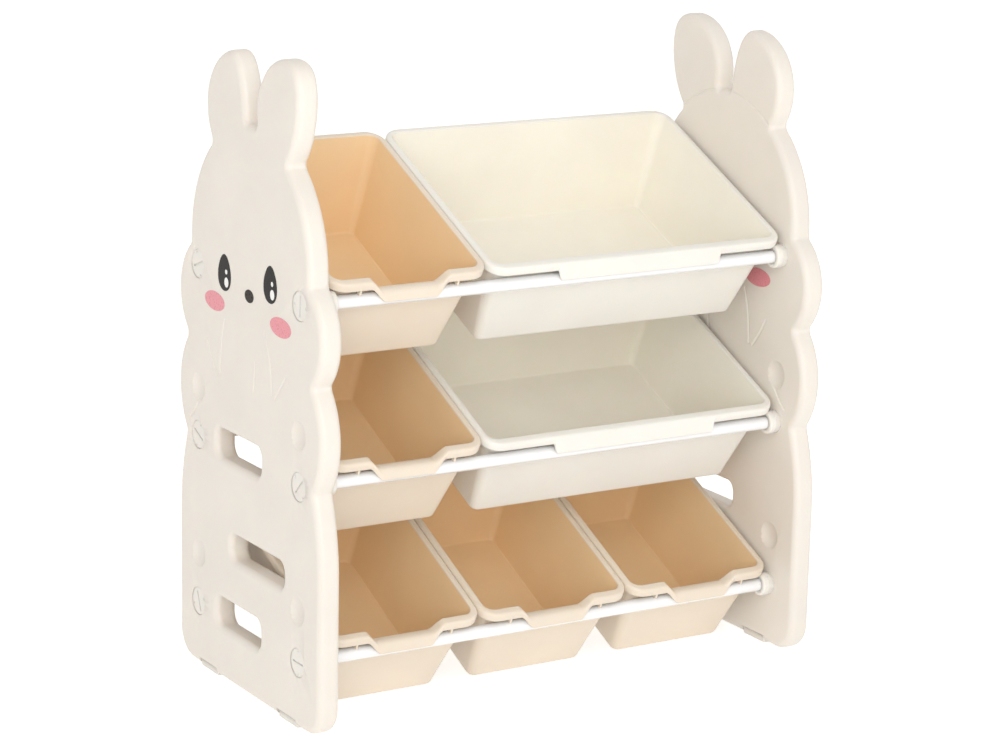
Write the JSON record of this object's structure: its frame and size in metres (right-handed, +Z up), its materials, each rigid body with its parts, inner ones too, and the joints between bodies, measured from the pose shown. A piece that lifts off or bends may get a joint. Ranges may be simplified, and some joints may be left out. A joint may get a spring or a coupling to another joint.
{
  "type": "toy storage unit",
  "caption": "Toy storage rack with rabbit-shaped side panels, tube rails on several levels and open bins that hang tilted on the rails and lift off.",
  "frame": {"origin": "bottom centre of the rack, on the floor under the foot pads", "axes": "+Z up, +X from the left panel to the right panel, -Y towards the front where the bins are low"},
  "size_m": [0.6976, 0.3724, 0.7771],
  "materials": {
    "panel": "satin",
    "connector": "satin",
    "screw_cap": "satin",
    "foot_pad": "satin",
    "rail": "gloss",
    "eye_sticker": "gloss",
    "nose_sticker": "gloss",
    "cheek_sticker": "satin",
    "small_bin": "satin",
    "large_bin": "satin"
  },
  "bodies": {
    "rack": {"left_panel": "panel", "left_rail_connectors": "connector", "left_screw_caps": "screw_cap", "left_foot_pads": "foot_pad", "left_eye_stickers": "eye_sticker", "left_nose_stickers": "nose_sticker", "left_cheek_stickers": "cheek_sticker", "right_panel": "panel", "right_rail_connectors": "connector", "right_screw_caps": "screw_cap", "right_foot_pads": "foot_pad", "right_eye_stickers": "eye_sticker", "right_nose_stickers": "nose_sticker", "right_cheek_stickers": "cheek_sticker", "front_bottom_rail": "rail", "rear_bottom_rail": "rail", "front_middle_rail": "rail", "rear_middle_rail": "rail", "front_top_rail": "rail", "rear_top_rail": "rail"},
    "bottom_left_bin_body": {"bottom_left_bin": "small_bin"},
    "bottom_centre_bin_body": {"bottom_centre_bin": "small_bin"},
    "bottom_right_bin_body": {"bottom_right_bin": "small_bin"},
    "middle_small_bin_body": {"middle_small_bin": "small_bin"},
    "middle_large_bin_body": {"middle_large_bin": "large_bin"},
    "top_small_bin_body": {"top_small_bin": "small_bin"},
    "top_large_bin_body": {"top_large_bin": "large_bin"}
  },
  "joints": [
    {"name": "bottom_left_bin_lift", "type": "slide", "parent": "rack", "child": "bottom_left_bin_body", "axis": [0, -0.4131, 0.9107], "range_m": [0, 0.06]},
    {"name": "bottom_centre_bin_lift", "type": "slide", "parent": "rack", "child": "bottom_centre_bin_body", "axis": [0, -0.4131, 0.9107], "range_m": [0, 0.06]},
    {"name": "bottom_right_bin_lift", "type": "slide", "parent": "rack", "child": "bottom_right_bin_body", "axis": [0, -0.4131, 0.9107], "range_m": [0, 0.06]},
    {"name": "middle_small_bin_lift", "type": "slide", "parent": "rack", "child": "middle_small_bin_body", "axis": [0, -0.4131, 0.9107], "range_m": [0, 0.06]},
    {"name": "middle_large_bin_lift", "type": "slide", "parent": "rack", "child": "middle_large_bin_body", "axis": [0, -0.4131, 0.9107], "range_m": [0, 0.06]},
    {"name": "top_small_bin_lift", "type": "slide", "parent": "rack", "child": "top_small_bin_body", "axis": [0, -0.4131, 0.9107], "range_m": [0, 0.2]},
    {"name": "top_large_bin_lift", "type": "slide", "parent": "rack", "child": "top_large_bin_body", "axis": [0, -0.4131, 0.9107], "range_m": [0, 0.2]}
  ]
}
